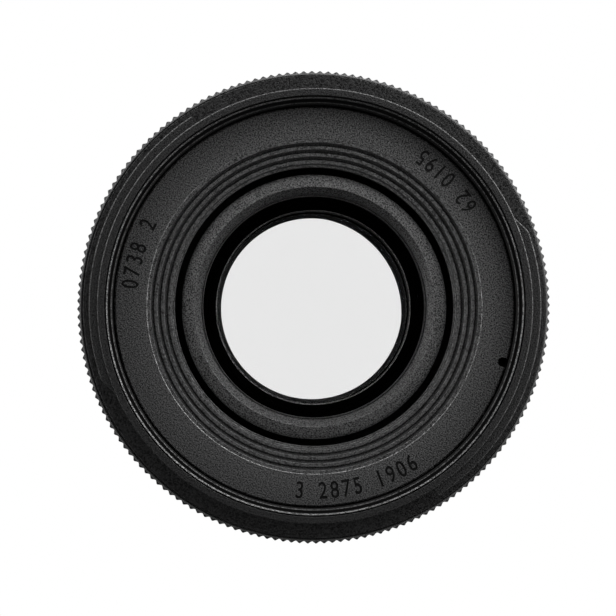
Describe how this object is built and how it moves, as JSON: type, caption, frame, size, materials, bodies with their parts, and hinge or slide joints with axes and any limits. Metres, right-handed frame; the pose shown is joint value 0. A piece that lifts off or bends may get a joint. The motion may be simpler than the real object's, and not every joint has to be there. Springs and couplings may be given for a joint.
{
  "type": "standard prime lens",
  "caption": "Autofocus standard prime lens with bayonet mount, turning focus ring, sliding optical block, bladed iris, filter thread and hood bayonet.",
  "frame": {"origin": "centre of the bayonet flange face", "axes": "+Z along the optical axis to the subject, +Y towards the index dot, +X towards the focus mode switch"},
  "size_m": [0.0684, 0.0684, 0.0766],
  "materials": {
    "black_satin": "satin black with fine spark-eroded grain",
    "black_ring": "satin black, moulded teeth",
    "switch_black": "satin black",
    "index_white": "glossy white",
    "chrome_mount": "satin chrome on brass",
    "steel": "turned steel",
    "black_plastic": "matt black",
    "gold": "gold plated",
    "board_green": "solder mask",
    "bare_aluminium": "anodised",
    "motor_case": "drawn steel can",
    "brass": "turned brass",
    "strip_silver": "printed reflective strip",
    "flex_amber": "polyimide film",
    "iris_black": "matt black coated steel",
    "coated_glass": "clear, multi-coated"
  },
  "bodies": {
    "housing": {"mount_ring": "chrome_mount", "mount_screws": "steel", "contact_block": "black_plastic", "contact_pads": "gold", "contact_screws": "steel", "rear_baffle": "black_plastic", "rear_cover": "black_satin", "index_dot": "index_white", "switch_plate": "switch_black", "switch_body": "black_plastic", "main_board": "board_green", "board_chips": "black_plastic", "board_screws": "steel", "inner_frame": "black_plastic", "chassis_plate": "bare_aluminium", "chassis_screws": "steel", "ring_sensors": "black_plastic", "sensor_flex": "flex_amber", "front_ring": "black_satin", "front_ring_screws": "steel", "name_plate": "black_satin", "guide_rods": "steel", "rod_holder": "black_plastic", "focus_motor": "motor_case", "home_sensor": "black_plastic"},
    "focus_grip": {"focus_ring": "black_ring", "encoder_strip": "strip_silver"},
    "optics": {"lens_barrel": "black_plastic", "rod_bushings": "brass", "front_bezel": "black_satin", "spacer_ring": "black_plastic", "rear_cell": "black_plastic", "rear_retainer": "black_plastic", "iris_base": "black_plastic", "iris_cover": "black_plastic", "iris_motor": "motor_case", "drive_nut": "brass", "element_1": "coated_glass", "element_2": "coated_glass", "element_3": "coated_glass", "element_4": "coated_glass", "element_5": "coated_glass", "element_6": "coated_glass"},
    "drive_shaft": {"lead_screw": "steel"},
    "iris_cam": {"iris_cam_ring": "iris_black"},
    "pinion": {"iris_pinion": "brass"},
    "switch_knob": {"af_mf_switch": "switch_black"},
    "blade_1": {"iris_blade_1": "iris_black"},
    "blade_2": {"iris_blade_2": "iris_black"},
    "blade_3": {"iris_blade_3": "iris_black"},
    "blade_4": {"iris_blade_4": "iris_black"},
    "blade_5": {"iris_blade_5": "iris_black"},
    "blade_6": {"iris_blade_6": "iris_black"},
    "blade_7": {"iris_blade_7": "iris_black"}
  },
  "joints": [
    {"name": "focus_ring_turn", "type": "hinge", "parent": "housing", "child": "focus_grip", "pos_m": [0, 0, 0.049], "axis": [0, 0, 1], "continuous": true},
    {"name": "focus_travel", "type": "slide", "parent": "housing", "child": "optics", "axis": [0, 0, 1], "range_m": [0, 0.0073]},
    {"name": "lead_screw_turn", "type": "hinge", "parent": "housing", "child": "drive_shaft", "pos_m": [-0.026, 0, 0.04], "axis": [0, 0, 1], "range_deg": [-2629, 0]},
    {"name": "iris_cam_turn", "type": "hinge", "parent": "optics", "child": "iris_cam", "pos_m": [0, 0, 0.0457], "axis": [0, 0, 1], "range_deg": [0, 22]},
    {"name": "iris_pinion_turn", "type": "hinge", "parent": "optics", "child": "pinion", "pos_m": [0.0249, 0, 0.0457], "axis": [0, 0, 1], "range_deg": [-343.5, 0]},
    {"name": "switch_slide", "type": "slide", "parent": "housing", "child": "switch_knob", "axis": [0, 0, -1], "range_m": [0, 0.0025]},
    {"name": "iris_blade_1_swing", "type": "hinge", "parent": "optics", "child": "blade_1", "pos_m": [0.0211, 0, 0.0437], "axis": [0, 0, 1], "range_deg": [0, 35.36]},
    {"name": "iris_blade_2_swing", "type": "hinge", "parent": "optics", "child": "blade_2", "pos_m": [0.01316, 0.0165, 0.0437], "axis": [0, 0, 1], "range_deg": [0, 35.36]},
    {"name": "iris_blade_3_swing", "type": "hinge", "parent": "optics", "child": "blade_3", "pos_m": [-0.0047, 0.02057, 0.0437], "axis": [0, 0, 1], "range_deg": [0, 35.36]},
    {"name": "iris_blade_4_swing", "type": "hinge", "parent": "optics", "child": "blade_4", "pos_m": [-0.01901, 0.00915, 0.0437], "axis": [0, 0, 1], "range_deg": [0, 35.36]},
    {"name": "iris_blade_5_swing", "type": "hinge", "parent": "optics", "child": "blade_5", "pos_m": [-0.01901, -0.00915, 0.0437], "axis": [0, 0, 1], "range_deg": [0, 35.36]},
    {"name": "iris_blade_6_swing", "type": "hinge", "parent": "optics", "child": "blade_6", "pos_m": [-0.0047, -0.02057, 0.0437], "axis": [0, 0, 1], "range_deg": [0, 35.36]},
    {"name": "iris_blade_7_swing", "type": "hinge", "parent": "optics", "child": "blade_7", "pos_m": [0.01316, -0.0165, 0.0437], "axis": [0, 0, 1], "range_deg": [0, 35.36]}
  ],
  "couplings": [
    {"joint": "lead_screw_turn", "follows": "focus_travel", "rad_per_m": -6283.2},
    {"joint": "iris_pinion_turn", "follows": "iris_cam_turn", "ratio": -15.6},
    {"joint": "iris_blade_1_swing", "follows": "iris_cam_turn", "ratio": 1.6052},
    {"joint": "iris_blade_2_swing", "follows": "iris_cam_turn", "ratio": 1.6052},
    {"joint": "iris_blade_3_swing", "follows": "iris_cam_turn", "ratio": 1.6052},
    {"joint": "iris_blade_4_swing", "follows": "iris_cam_turn", "ratio": 1.6052},
    {"joint": "iris_blade_5_swing", "follows": "iris_cam_turn", "ratio": 1.6052},
    {"joint": "iris_blade_6_swing", "follows": "iris_cam_turn", "ratio": 1.6052},
    {"joint": "iris_blade_7_swing", "follows": "iris_cam_turn", "ratio": 1.6052}
  ]
}
